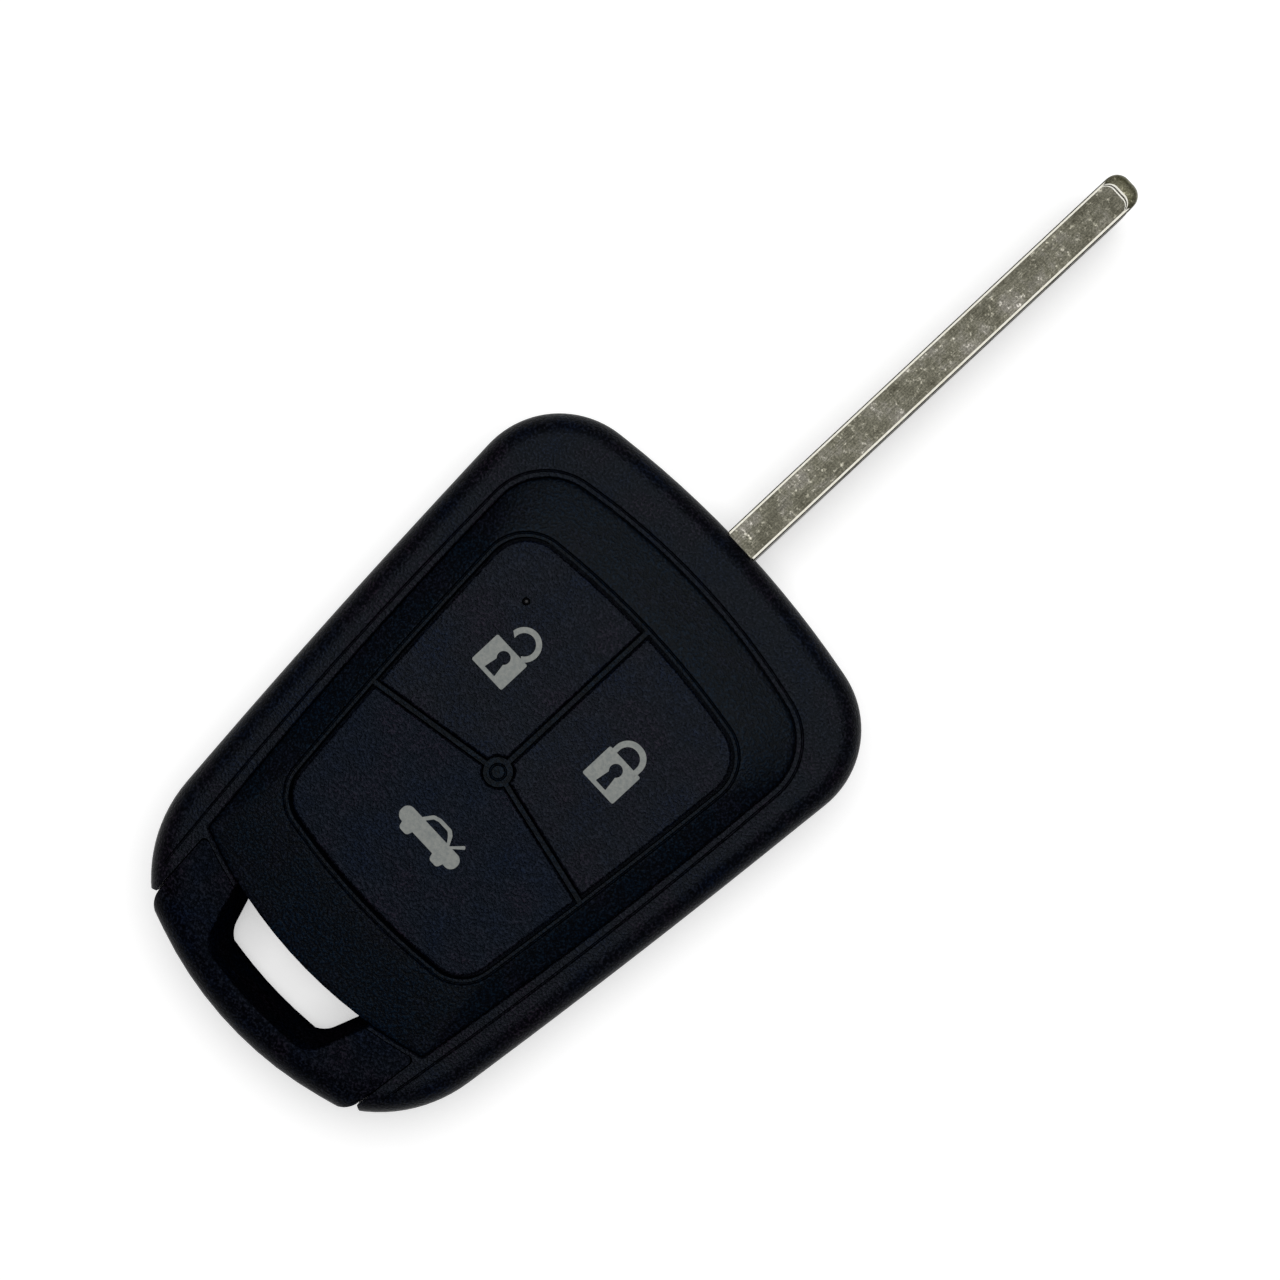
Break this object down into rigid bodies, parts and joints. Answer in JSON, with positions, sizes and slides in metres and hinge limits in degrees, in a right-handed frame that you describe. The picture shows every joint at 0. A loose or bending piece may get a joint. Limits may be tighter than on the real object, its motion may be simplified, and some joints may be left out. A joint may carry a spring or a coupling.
{
  "type": "car key",
  "caption": "Remote car key: tapered moulded case with unlock, lock and boot push buttons, a keyring slot at one end and a fixed blade at the other.",
  "frame": {"origin": "on the flat back face, right under the hub where the three spokes between the buttons meet", "axes": "+Y along the key towards the blade tip, +Z out of the button face, +X to the lock button's side"},
  "size_m": [0.0402, 0.1009, 0.013],
  "materials": {
    "case_plastic": "fine spark-eroded grain",
    "panel_plastic": "fine spark-eroded grain",
    "loop_plastic": "fine spark-eroded grain",
    "button_plastic": "fine grain with pale printed symbols",
    "silicone": "matt",
    "board_laminate": "solder mask",
    "switch_plastic": "moulded",
    "plunger_plastic": "moulded",
    "led_plastic": "clear resin over a white body",
    "clear_plastic": "clear",
    "chip_plastic": "moulded epoxy",
    "can_steel": "plated",
    "ceramic": "fired",
    "coil_copper": "enamelled winding",
    "cell_steel": "pressed",
    "contact_steel": "plated spring steel",
    "blade_metal": "worn nickel silver",
    "carrier_plastic": "glass-filled",
    "pin_steel": "ground"
  },
  "bodies": {
    "case": {"front_shell": "case_plastic", "rear_cover": "case_plastic", "front_panel": "panel_plastic", "keyring_loop": "loop_plastic", "keypad_mat": "silicone", "circuit_board": "board_laminate", "unlock_switch": "switch_plastic", "lock_switch": "switch_plastic", "boot_switch": "switch_plastic", "status_led": "led_plastic", "light_pipe": "clear_plastic", "remote_chip": "chip_plastic", "radio_crystal": "can_steel", "chip_capacitors": "ceramic", "transponder_coil": "coil_copper", "battery": "cell_steel", "battery_negative_contact": "contact_steel", "battery_positive_clip": "contact_steel", "blade": "blade_metal", "blade_carrier": "carrier_plastic", "blade_pin": "pin_steel"},
    "unlock_key": {"unlock_button": "button_plastic", "unlock_plunger": "plunger_plastic"},
    "lock_key": {"lock_button": "button_plastic", "lock_plunger": "plunger_plastic"},
    "boot_key": {"boot_button": "button_plastic", "boot_plunger": "plunger_plastic"}
  },
  "joints": [
    {"name": "unlock_press", "type": "slide", "parent": "case", "child": "unlock_key", "axis": [0, 0, -1], "range_m": [0, 0.0003], "stiffness_N_per_m": 4000, "springref_m": -0.0001},
    {"name": "lock_press", "type": "slide", "parent": "case", "child": "lock_key", "axis": [0, 0, -1], "range_m": [0, 0.0003], "stiffness_N_per_m": 4000, "springref_m": -0.0001},
    {"name": "boot_press", "type": "slide", "parent": "case", "child": "boot_key", "axis": [0, 0, -1], "range_m": [0, 0.0003], "stiffness_N_per_m": 4000, "springref_m": -0.0001}
  ]
}
